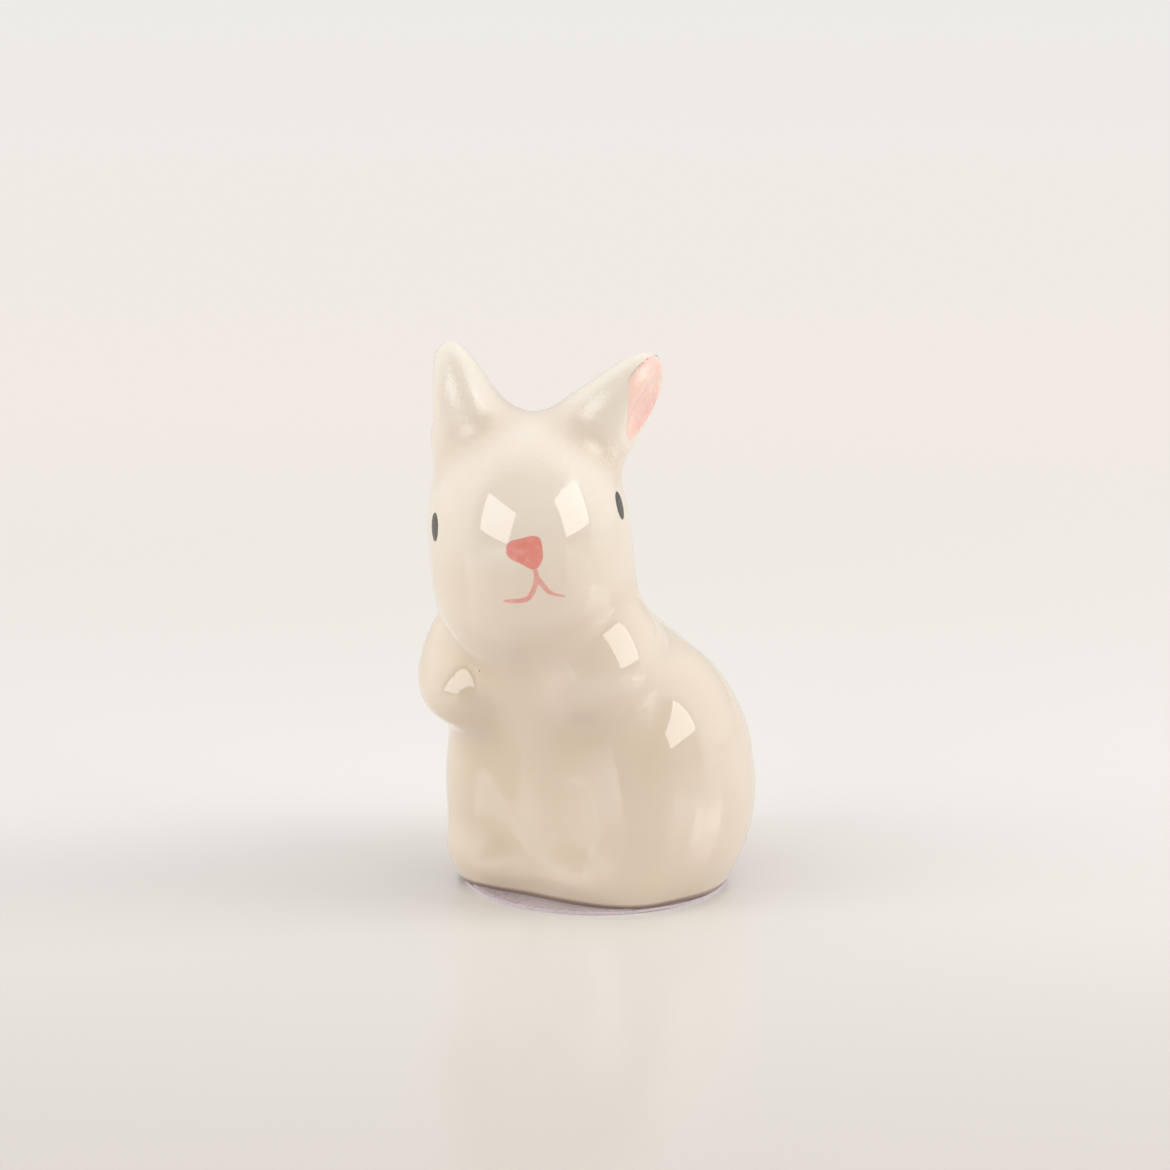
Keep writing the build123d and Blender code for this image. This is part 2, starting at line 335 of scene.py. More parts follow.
@dataclass(frozen=True)
class CreamGlaze:
    """The clear, faintly tinted glaze over cream clay.

    Grains, spacings and heights are millimetres, and a span is where a smooth
    step starts and ends. Over one span of heights the colour is painted lighter
    toward the top, which is painted light. Above the tooth's span, on the ears, the clay's grain
    shows in it.
    """

    body: Colour = tone(224, 206, 183)
    # painted light, and on ridges also thinner glaze: the lighter tone for the top of the rabbit
    # and its ridges
    thin_glaze_and_light: Colour = tone(237, 227, 212)
    # glaze pooling and painted shade: the darker tone for creases
    pooled_glaze_and_shade: Colour = tone(214, 195, 169)
    warm: Colour = tone(225, 208, 191)
    speck: Colour = tone(120, 98, 78)
    # painted contact shadow: a dark band along the bottom edge, in the brown of bare clay
    foot_clay_and_shadow: Colour = tone(112, 84, 74)
    cloud_grain: float = 9.0
    cloud_depth: float = 0.45
    blush_grain: float = 14.0
    blush_span: Span = (0.42, 0.72)
    blush_share: float = 0.45
    # painted light: the colour turns lighter over this span of heights, toward the top
    painted_light_rise: Span = (12.0, 42.0)
    painted_light_depth: float = 0.7
    pooled_and_shade_span: Span = (0.02, 0.75)
    pooled_and_shade_share: float = 0.9
    thin_and_light_span: Span = (0.1, 0.9)
    thin_and_light_share: float = 0.8
    speck_spacing: float = 3.1
    speck_radius: Span = (0.018, 0.036)
    speck_choice: Span = (0.86, 0.88)
    speck_share: float = 0.8
    # the heights, waver and share of the painted contact shadow along the bottom edge
    foot_shadow_line: Span = (0.5, 0.95)
    foot_shadow_waver: float = 0.6
    foot_shadow_share: float = 0.8
    roughness: float = 0.012
    gloss_grain: float = 5.0
    gloss_wander: float = 0.015
    refraction: float = 1.6
    haze: float = 0.4
    haze_spread: float = 0.45
    ripple_grain: float = 3.2
    ripple_height: float = 0.012
    tooth_grain: float = 0.14
    tooth_height: float = 0.042
    tooth_above: Span = (40.5, 43.5)

    def colour(self, graph: Graph, position: Value) -> Value:
        """Builds the glaze's colour, the same on clay and round enamel. Besides the glaze's own
        tint it paints light and shade: lighter toward the top and on ridges, darker in creases
        where glaze gathers and shade falls, and a dark painted contact shadow along the bottom
        edge.

        Args:
            graph: The material's graph.
            position: Object coordinates.

        Returns:
            The colour.
        """
        height = graph.parts(position)[2]
        blush = graph.step(graph.noise(position, self.blush_grain, 2.0, 4.0), *self.blush_span)
        drift = (graph.noise(position, self.cloud_grain, 3.0, 1.0) - 0.5) * self.cloud_depth
        # crease depth less a lightening that grows with height: positive in creases, for glaze
        # pooling and painted shade; negative up top and on ridges, for painted light and thinner
        # glaze
        depth = graph.stored(POOL_AND_SHADE) + drift - graph.rise(height, self.painted_light_rise) * self.painted_light_depth
        # painted contact shadow: a dark band along the bottom edge
        foot_shadow_band = 1 - graph.rise(height + drift * self.foot_shadow_waver * MM, self.foot_shadow_line)
        toned: Value | Colour = self.body
        for share, layer in (
            (blush * self.blush_share, self.warm),
            # darker in creases: glaze pooling and painted shade
            (graph.step(depth, *self.pooled_and_shade_span) * self.pooled_and_shade_share, self.pooled_glaze_and_shade),
            # lighter toward the top and on ridges: painted light, and thinner glaze on ridges
            (graph.step(0 - depth, *self.thin_and_light_span) * self.thin_and_light_share, self.thin_glaze_and_light),
            (self.specks(graph, position), self.speck),
            # painted contact shadow along the bottom edge
            (foot_shadow_band * self.foot_shadow_share, self.foot_clay_and_shadow),
        ):
            toned = graph.mix(share, toned, layer)
        return toned

    def specks(self, graph: Graph, position: Value) -> Value:
        """Scatters a few specks of iron in the glaze.

        Args:
            graph: The material's graph.
            position: Object coordinates.

        Returns:
            How much of a speck's colour shows.
        """
        cells = {"Vector": position, "Scale": 1 / (self.speck_spacing * MM), "Randomness": 1.0}
        spots = graph.node("ShaderNodeTexVoronoi", None, cells)
        near = 1 - graph.step(graph.out(spots, "Distance"), *self.speck_radius)
        drawn = graph.node("ShaderNodeSeparateColor", None, {0: graph.out(spots, "Color")})
        return near * graph.step(graph.out(drawn), *self.speck_choice) * self.speck_share

    def gloss(self, graph: Graph, position: Value, haze: float = 1.0) -> dict[str, Any]:
        """Builds the glaze's gloss and its milky haze, which is the same all over a piece.

        Args:
            graph: The material's graph.
            position: Object coordinates.
            haze: The haze's share.

        Returns:
            The shader's sockets.
        """
        wander = graph.noise(position, self.gloss_grain, 2.0, 7.0)
        return {
            "Roughness": self.roughness + wander * self.gloss_wander,
            "IOR": self.refraction,
            "Sheen Weight": self.haze * haze,
            "Sheen Roughness": self.haze_spread,
        }

    def relief(self, graph: Graph, position: Value) -> Value:
        """Ripples the glaze, and roughens the ears, where it ran off and lies in a thinner coat.

        Args:
            graph: The material's graph.
            position: Object coordinates.

        Returns:
            The relief, in heights of the ripple.
        """
        ripple = graph.noise(position, self.ripple_grain, 1.0, 9.0)
        fine = graph.noise(position, self.tooth_grain, 1.0, 11.0)
        high = graph.rise(graph.parts(position)[2], self.tooth_above)
        return ripple + fine * high * (self.tooth_height / self.ripple_height)

    def build(self) -> bpy.types.Material:
        """Makes the glaze's material."""
        material, graph = new_material("cream_glaze")
        position = graph.place()
        sockets = {"Base Color": self.colour(graph, position), **self.gloss(graph, position)}
        finish_surface(graph, sockets, self.relief(graph, position), self.ripple_height)
        return material


@dataclass(frozen=True)
class BrushedEnamel:
    """Enamel colour laid with a brush, thinning out at its edge into the glaze."""

    name: str
    pigment: Colour
    shade: Colour
    glaze: CreamGlaze
    streak_grain: float = 0.7
    streak_span: Span = (0.35, 0.7)
    streak_bite: float = 0.3
    density: float = 1.0
    haze: float = 1.0
    edge: Span = (0.25, 0.75)

    def build(self) -> bpy.types.Material:
        """Makes the enamel's material."""
        material, graph = new_material(self.name)
        position = graph.place()
        streak = graph.noise(position, self.streak_grain, 3.0, 3.0)
        paint = graph.mix(graph.step(streak, *self.streak_span), self.pigment, self.shade)
        cover = graph.stored(COVER) + (streak - 0.5) * self.streak_bite
        laid = graph.step(cover, *self.edge) * self.density
        sockets = {
            # where the paint thins out, the glaze's colour shows, with its painted light and shade
            "Base Color": graph.mix(laid, self.glaze.colour(graph, position), paint),
            **self.glaze.gloss(graph, position, self.haze),
        }
        relief = self.glaze.relief(graph, position)
        finish_surface(graph, sockets, relief, self.glaze.ripple_height)
        return material


@dataclass(frozen=True)
class LabelPaper:
    """Coated self-adhesive paper, faintly lilac, with its fibres just showing."""

    face: Colour = tone(213, 200, 203)
    fibre: Colour = tone(195, 181, 184)
    pulp_grain: float = 0.35
    cloud_grain: float = 4.0
    cloud_share: float = 0.3
    fibre_span: Span = (0.4, 0.75)
    roughness: float = 0.5
    pulp_roughness: float = 0.15
    relief: float = 0.01

    def build(self) -> bpy.types.Material:
        """Makes the paper's material."""
        material, graph = new_material("label_paper")
        position = graph.place()
        pulp = graph.noise(position, self.pulp_grain, 5.0, 2.0)
        cloud = graph.noise(position, self.cloud_grain, 2.0, 5.0)
        mottle = pulp * (1 - self.cloud_share) + cloud * self.cloud_share
        sockets = {
            "Base Color": graph.mix(graph.step(mottle, *self.fibre_span), self.face, self.fibre),
            "Roughness": self.roughness + pulp * self.pulp_roughness,
        }
        finish_surface(graph, sockets, pulp, self.relief)
        return material


@dataclass(frozen=True)
class LabelGlue:
    """Dried contact adhesive, a satin film that has picked up some dust."""

    film: Colour = tone(196, 184, 188)
    dust: Colour = tone(168, 155, 157)
    grain: float = 0.5
    patch_grain: float = 3.0
    dust_span: Span = (0.45, 0.8)
    roughness: float = 0.28
    dust_roughness: float = 0.3
    refraction: float = 1.47
    relief: float = 0.008

    def build(self) -> bpy.types.Material:
        """Makes the adhesive's material."""
        material, graph = new_material("label_glue")
        position = graph.place()
        grain = graph.noise(position, self.grain, 4.0, 6.0)
        patches = graph.noise(position, self.patch_grain, 2.0, 8.0)
        dusty = graph.step(grain * patches * 2, *self.dust_span)
        sockets = {
            "Base Color": graph.mix(dusty, self.film, self.dust),
            "Roughness": self.roughness + dusty * self.dust_roughness,
            "IOR": self.refraction,
        }
        finish_surface(graph, sockets, grain, self.relief)
        return material


@dataclass(frozen=True)
class Part:
    """One clay node, how softly it runs into its neighbours and how thick the glaze lies on it."""

    node: str
    blend: float
    coat: float = 0.0


CLAY = (
    Part("torso", 0.0),
    Part("head", 4.2),
    Part("left_ear", 2.0),
    Part("right_ear", 2.0, 0.2),
    Part("left_arm", 3.4),
    Part("right_arm", 3.4),
    Part("left_haunch", 4.0),
    Part("right_haunch", 4.0),
    Part("left_hind_foot", 2.4),
    Part("right_hind_foot", 2.4),
    Part("tail", 1.2),
)


def node_mesh(name: str) -> tuple[Array, Array]:
    """Reads a CAD node's triangles.

    Args:
        name: The node's name.

    Returns:
        Its points in millimetres, and its triangles.
    """
    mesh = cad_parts[name].data
    points = np.empty(len(mesh.vertices) * 3, np.float32)
    mesh.vertices.foreach_get("co", points)
    mesh.calc_loop_triangles()
    corners = np.empty(len(mesh.loop_triangles) * 3, np.int32)
    mesh.loop_triangles.foreach_get("vertices", corners)
    return points.reshape(-1, 3) / MM, corners.reshape(-1, 3)


@dataclass
class Field:
    """A number at each point of a regular grid, read between them with cubic B-splines."""

    origin: Array
    pitch: float
    values: Array

    def read(self, points: Array) -> tuple[Array, Array]:
        """Reads the field and its slope.

        Args:
            points: Places in millimetres.

        Returns:
            The value at each place, and the gradient per millimetre.
        """
        place = (points - self.origin) / self.pitch
        limit = np.array(self.values.shape) - 3
        base = np.clip(np.floor(place).astype(np.int64), 1, limit)
        t = np.clip(place - base, 0, 1)
        weights = (
            (1 - t) ** 3 / 6,
            (3 * t**3 - 6 * t**2 + 4) / 6,
            (-3 * t**3 + 3 * t**2 + 3 * t + 1) / 6,
            t**3 / 6,
        )
        slopes = (-((1 - t) ** 2) / 2, 1.5 * t**2 - 2 * t, -1.5 * t**2 + t + 0.5, t**2 / 2)
        flat = self.values.ravel()
        _, rows, columns = self.values.shape
        start = ((base[:, 0] - 1) * rows + base[:, 1] - 1) * columns + base[:, 2] - 1
        value = np.zeros(len(points))
        slope = np.zeros((len(points), 3))
        for i in range(4):
            for j in range(4):
                for k in range(4):
                    found = flat[start + (i * rows + j) * columns + k]
                    wx, wy, wz = weights[i][:, 0], weights[j][:, 1], weights[k][:, 2]
                    value += found * wx * wy * wz
                    slope[:, 0] += found * slopes[i][:, 0] * wy * wz
                    slope[:, 1] += found * wx * slopes[j][:, 1] * wz
                    slope[:, 2] += found * wx * wy * slopes[k][:, 2]
        return value, slope / self.pitch

    def settle(self, points: Array, flat: bool = False, rounds: int = 3) -> Array:
        """Moves points onto the field's zero surface.

        Args:
            points: Places near the surface.
            flat: Whether the points keep their height.
            rounds: How many steps they take.

        Returns:
            The moved points.
        """
        for _ in range(rounds):
            value, slope = self.read(points)
            if flat:
                slope[:, 2] = 0
            length = np.maximum((slope**2).sum(1), LEAST_SLOPE)
            points = points - (value / length)[:, None] * slope
        return points


def blurred(values: Array, reach: float, cut: float = 2.6) -> Array:
    """Softens a grid.

    Args:
        values: The grid.
        reach: The blur's standard deviation in cells.
        cut: How many standard deviations the kernel takes in.

    Returns:
        The softened grid.
    """
    half = int(math.ceil(reach * cut))
    kernel = np.exp(-0.5 * (np.arange(-half, half + 1) / reach) ** 2)
    kernel = (kernel / kernel.sum()).astype(np.float32)
    for axis in range(3):
        edge = [(half, half) if a == axis else (0, 0) for a in range(3)]
        padded = np.pad(values, edge, mode="edge")
        size = values.shape[axis]
        total = np.zeros_like(values)
        for step, weight in enumerate(kernel):
            total += weight * np.take(padded, np.arange(step, step + size), axis=axis)
        values = total
    return values


def spread(mask: Array) -> Array:
    """Grows a mask by one cell along each axis."""
    grown = mask.copy()
    for axis in range(3):
        ahead, behind = (slice(1, None),), (slice(None, -1),)
        rest = (slice(None),) * axis
        grown[rest + ahead] |= mask[rest + behind]
        grown[rest + behind] |= mask[rest + ahead]
    return grown


def flooded(free: Array, stride: int = 8) -> Array:
    """Finds the cells that are joined to a grid's sides.

    Args:
        free: Which cells can be passed.
        stride: How many cells it goes before it looks whether it is done.

    Returns:
        The mask of the cells that are reached.
    """
    reached = np.zeros_like(free)
    for edge in (np.s_[0], np.s_[-1], np.s_[:, 0], np.s_[:, -1]):
        reached[edge] = free[edge]
    count = 0
    while reached.sum() != count:
        count = reached.sum()
        for _ in range(stride):
            reached = spread(reached) & free
    return reached


@dataclass
class ClaySkin:
    """The clay under its glaze as one soft surface, with the node that each spot belongs to.

    Up to one height the glaze softens the clay by the one reach, and from a
    second height on, where it ran off into a thinner coat, by the other. Lengths are millimetres.
    """

    pitch: float = 0.3
    margin: float = 2.7
    band_cells: int = 17
    depth: float = 1.2
    crisp: float = 0.4
    soft: float = 1.2
    soft_below: float = 17.0
    crisp_above: float = 28.0
    pool_reach: float = 1.9
    pool_even: float = 0.35
    pool_scale: float = 0.45
    surface: Field = field(init=False)
    pool: Field = field(init=False)
    labels: Array = field(init=False)
    sole_layer: int = field(init=False)
    sole: float = field(init=False)

    def build(self) -> None:
        """Reads the clay nodes and makes the soft surface, its labels and its glaze pools, which
        also mark where light and shade are painted.
        """
        boxes = np.array([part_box(part.node) for part in CLAY]) / MM
        low, high = boxes[:, 0].min(0), boxes[:, 1].max(0)
        self.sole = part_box("torso")[0].z / MM
        self.sole_layer = int(self.margin / self.pitch) + 3
        origin = low - self.margin
        origin[2] = self.sole - (self.sole_layer + 0.5) * self.pitch
        shape = tuple(np.ceil((high + self.margin - origin) / self.pitch).astype(int))
        union, nearest, labels = self._gather(origin, shape)
        self._extend(union)
        outside = flooded(union > 0)
        labels[outside] = 0
        self._fill_labels(labels, nearest, outside)
        raw = self._filled(union, outside)
        crisp = blurred(raw, self.crisp / self.pitch)
        soft = blurred(raw, self.soft / self.pitch)
        heights = origin[2] + np.arange(shape[2]) * self.pitch
        share = eased(heights, self.soft_below, self.crisp_above).astype(np.float32)
        values = soft + (crisp - soft) * share
        self.surface = Field(origin, self.pitch, values)
        self.pool = Field(origin, self.pitch, blurred(raw, self.pool_reach / self.pitch))
        inside = values < 0
        labels[~inside] = 0
        self._fill_labels(labels, np.zeros_like(values), ~inside)
        labels[:, :, : self.sole_layer + 1] = 0
        self.labels = labels

    def pools(self, points: Array) -> Array:
        """Says how thickly the glaze lies, and so where shade and light are painted: darker in
        creases, lighter on ridges.

        Args:
            points: Places on the skin, in millimetres.

        Returns:
            1 in a deep crease, 0 on an even wall, and -1 on a sharp ridge.
        """
        value, _ = self.pool.read(points)
        return np.clip(self.pool_even - value / self.pool_scale, -1, 1)

    def _gather(self, origin: Array, shape: tuple[int, ...]) -> tuple[Array, Array, Array]:
        """Reads each node's distances and joins them.

        Args:
            origin: The grid's first point.
            shape: The grid's size.

        Returns:
            The joined distances, the distance to the nearest node, and that node's number.
        """
        spacing = openvdb.createLinearTransform(voxelSize=self.pitch)
        union = nearest = labels = None
        for number, part in enumerate(CLAY, 1):
            points, triangles = node_mesh(part.node)
            grid = openvdb.FloatGrid.createLevelSetFromPolygons(
                (points - origin).astype(np.float32),
                triangles=triangles.astype(np.uint32),
                transform=spacing,
                halfWidth=self.band_cells,
            )
            distance = np.empty(shape, np.float32)
            grid.copyToArray(distance)
            distance -= part.coat
            if union is None:
                union, nearest, labels = distance, distance.copy(), np.ones(shape, np.int8)
                continue
            overlap = np.maximum(part.blend - np.abs(union - distance), 0) / part.blend
            union = np.minimum(union, distance) - overlap**2 * part.blend / 4
            closer = distance < nearest
            labels[closer] = number
            nearest = np.minimum(nearest, distance)
        return union, nearest, labels

    def _extend(self, union: Array) -> None:
        """Runs the clay's sides on below the sole, so that the sole doesn't round them.

        Args:
            union: The joined distances, changed in place.
        """
        first = self.sole_layer + 1
        base = union[:, :, first : first + 1]
        air = flooded(base > 0)
        above = union[:, :, first + 1 : 2 * first + 1][:, :, ::-1]
        union[:, :, :first] = np.where(air, 2 * base - above, -self.depth)

    def _filled(self, union: Array, outside: Array) -> Array:
        """Makes the clay solid behind its skin, so that only the skin shapes the glaze.

        Args:
            union: The joined distances.
            outside: The mask of the air.

        Returns:
            Distances up to the skin's depth each way.
        """
        depth = np.zeros_like(union)
        reached = outside
        for _ in range(int(self.depth / self.pitch) + 2):
            reached = spread(reached)
            depth += (~reached) * self.pitch
        inner = -np.maximum(np.abs(union), depth)
        return np.clip(np.where(outside, union, inner), -self.depth, self.depth)

    def _fill_labels(self, labels: Array, nearest: Array, outside: Array) -> None:
        """Gives clay that lies too deep for the distances its neighbours' node.

        Args:
            labels: The nodes' numbers, changed in place.
            nearest: The distance to the nearest node.
            outside: The mask of the air.
        """
        limit = (self.band_cells - 1) * self.pitch
        labels[(nearest >= limit) & ~outside] = UNKNOWN_NODE
        unknown = ~outside & ((labels == UNKNOWN_NODE) | (labels == 0))
        labels[unknown] = UNKNOWN_NODE
        while unknown.any():
            before = int(unknown.sum())
            for axis in range(3):
                for step in (1, -1):
                    neighbour = np.roll(labels, step, axis)
                    found = unknown & (neighbour > 0)
                    labels[found] = neighbour[found]
                    unknown &= ~found
            if int(unknown.sum()) == before:
                labels[unknown] = 1
                break


class Role(Enum):
    """What holds a vertex of the nets, as bits."""

    SKIN = 1
    SEAM = 2
    SOLE = 4
    RIM = 8


@dataclass
class ClayNets:
    """Surface nets over the labels: closed pieces that meet exactly along their seams."""

    skin: ClaySkin
    smoothing_rounds: int = 8
    holding_rounds: int = 3
    points: Array = field(init=False)
    quads: Array = field(init=False)
    sides: Array = field(init=False)
    flat: Array = field(init=False)
    role: Array = field(init=False)

    def build(self) -> None:
        """Makes the vertices and the quads, and settles them on the skin."""
        labels = self.skin.labels
        cells = [
            labels[i : i - 1 or None, j : j - 1 or None, k : k - 1 or None]
            for i, j, k in corners()
        ]
        high = np.maximum.reduce(cells)
        low = np.minimum.reduce(cells)
        least = np.minimum.reduce([np.where(cell == 0, NO_NODE, cell) for cell in cells])
        crossed = high != low
        index = np.full(crossed.shape, -1, np.int64)
        index[crossed] = np.arange(int(crossed.sum()))
        place = np.argwhere(crossed)
        self.points = self.skin.surface.origin + (place + 0.5) * self.skin.pitch
        air = low[crossed] == 0
        on_sole = place[:, 2] == self.skin.sole_layer
        upper = np.minimum.reduce([c[crossed] for c, (_, _, k) in zip(cells, corners()) if k])
        self.role = (
            air * Role.SKIN.value
            + (air & (high[crossed] != least[crossed])) * Role.SEAM.value
            + on_sole * Role.SOLE.value
            + (on_sole & (upper == 0)) * Role.RIM.value
        )
        self._join(labels, index)
        self._settle()

    def _join(self, labels: Array, index: Array) -> None:
        """Finds the quads, one for each grid edge whose ends differ.

        Args:
            labels: The nodes' numbers.
            index: Each cell's vertex.
        """
        quads, sides, flat = [], [], []
        for axis in range(3):
            first, second = (axis + 1) % 3, (axis + 2) % 3
            near = np.take(labels, np.arange(labels.shape[axis] - 1), axis)
            far = np.take(labels, np.arange(1, labels.shape[axis]), axis)
            place = np.argwhere(near != far)
            last = np.array(labels.shape) - 1
            inner = np.logical_and.reduce(
                [(place[:, a] > 0) & (place[:, a] < last[a]) for a in (first, second)]
            )
            place = place[inner]
            ring = []
            for a, b in ((-1, -1), (0, -1), (0, 0), (-1, 0)):
                cell = place.copy()
                cell[:, first] += a
                cell[:, second] += b
                ring.append(index[tuple(cell.T)])
            quads.append(np.stack(ring, 1))
            sides.append(np.stack([near[tuple(place.T)], far[tuple(place.T)]], 1))
            flat.append((axis == 2) & (place[:, 2] == self.skin.sole_layer))
        self.quads, self.sides, self.flat = (np.concatenate(x) for x in (quads, sides, flat))

    def _settle(self) -> None:
        """Evens the vertices out, each within what holds it."""
        ends = np.concatenate([self.quads[:, [i, (i + 1) % 4]] for i in range(4)])
        ends = np.concatenate([ends, ends[:, ::-1]])
        allowed = (self.role[ends[:, 1]] & self.role[ends[:, 0]]) == self.role[ends[:, 0]]
        target, source = ends[allowed].T
        count = np.maximum(np.bincount(target, minlength=len(self.points)), 1)[:, None]
        self._hold(self.holding_rounds)
        for _ in range(self.smoothing_rounds):
            total = [
                np.bincount(target, self.points[source, a], len(self.points)) for a in range(3)
            ]
            mean = np.stack(total, 1) / count
            moved = (np.bincount(target, minlength=len(self.points)) > 0)[:, None]
            self.points = np.where(moved, (self.points + mean) / 2, self.points)
            self._hold(1)
        self._hold(self.holding_rounds)

    def _hold(self, rounds: int) -> None:
        """Puts vertices back on the skin and the sole.

        Args:
            rounds: How many steps they take.
        """
        sole = (self.role & Role.SOLE.value) > 0
        rim = (self.role & Role.RIM.value) > 0
        side = ((self.role & Role.SKIN.value) > 0) & ~sole
        self.points[sole, 2] = self.skin.sole
        self.points[side] = self.skin.surface.settle(self.points[side], rounds=rounds)
        self.points[rim] = self.skin.surface.settle(self.points[rim], flat=True, rounds=rounds)

    def piece(self, number: int, name: str) -> bpy.types.Object:
        """Makes one node's closed piece.

        Args:
            number: The node's number in the labels.
            name: The piece's name.

        Returns:
            The object.
        """
        ahead = self.sides[:, 0] == number
        behind = self.sides[:, 1] == number
        quads = np.concatenate([self.quads[ahead], self.quads[behind][:, ::-1]])
        other = np.concatenate([self.sides[ahead, 1], self.sides[behind, 0]])
        flat = np.concatenate([self.flat[ahead], self.flat[behind]])
        used, local = np.unique(quads, return_inverse=True)
        local = local.reshape(quads.shape)
        points = self.points[used]
        _, slope = self.skin.surface.read(points)
        smooth = slope / np.maximum(np.linalg.norm(slope, axis=1), TINY)[:, None]
        corner = points[local]
        facing = np.cross(corner[:, 2] - corner[:, 0], corner[:, 3] - corner[:, 1])
        facing /= np.maximum(np.linalg.norm(facing, axis=1), TINY)[:, None]
        normals = np.repeat(facing[:, None], 4, 1)
        glazed = (other == 0) & ~flat
        normals[glazed] = smooth[local[glazed]]
        pools = {POOL_AND_SHADE: self.skin.pools(points)}
        return new_piece(name, points, local.tolist(), pools, normals.reshape(-1, 3))


def corners() -> Iterator[tuple[int, int, int]]:
    """Yields the eight corners of a cell."""
    return ((i, j, k) for i in (0, 1) for j in (0, 1) for k in (0, 1))


def new_piece(
    name: str,
    points: Array,
    faces: Sequence[Sequence[int]],
    attributes: Mapping[str, Array],
    normals: Array,
) -> bpy.types.Object:
    """Makes a mesh object.

    Args:
        name: The object's name.
        points: Its vertices in millimetres.
        faces: Its faces.
        attributes: A number for each vertex, by name.
        normals: A normal for each corner of each face.

    Returns:
        The object.
    """
    mesh = bpy.data.meshes.new(name)
    mesh.from_pydata((points * MM).tolist(), [], faces)
    for key, numbers in attributes.items():
        layer = mesh.attributes.new(key, "FLOAT", "POINT")
        layer.data.foreach_set("value", numbers.astype(np.float32))
    mesh.shade_smooth()
    mesh.normals_split_custom_set(normals.tolist())
    made = bpy.data.objects.new(name, mesh)
    bpy.context.scene.collection.objects.link(made)
    return made


def place_piece(
    piece: bpy.types.Object, material: bpy.types.Material, node: str
) -> None:
    """Finishes a piece and puts it in its node's place.

    Args:
        piece: The piece.
        material: Its material.
        node: The CAD node that it stands for.
    """
    piece.data.materials.clear()
    piece.data.materials.append(material)
    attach(piece, BODY)
    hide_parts(node)
    LOG.info("%s: %d faces", piece.name, len(piece.data.polygons))


@dataclass
class GlazedBody:
    """Torso, head, ears, limbs and tail under one glaze."""

    glaze: CreamGlaze
    skin: ClaySkin = field(default_factory=ClaySkin)

    def build(self) -> dict[str, bpy.types.Object]:
        """Makes a closed piece for each clay node.

        Returns:
            The pieces by their node's name.
        """
        self.skin.build()
        nets = ClayNets(self.skin)
        nets.build()
        return {part.node: nets.piece(i, f"glazed_{part.node}") for i, part in enumerate(CLAY, 1)}

    def dress(self, pieces: Mapping[str, bpy.types.Object]) -> None:
        """Glazes the pieces.

        Args:
            pieces: The pieces by their node's name.
        """
        material = self.glaze.build()
        for node, piece in pieces.items():
            place_piece(piece, material, node)


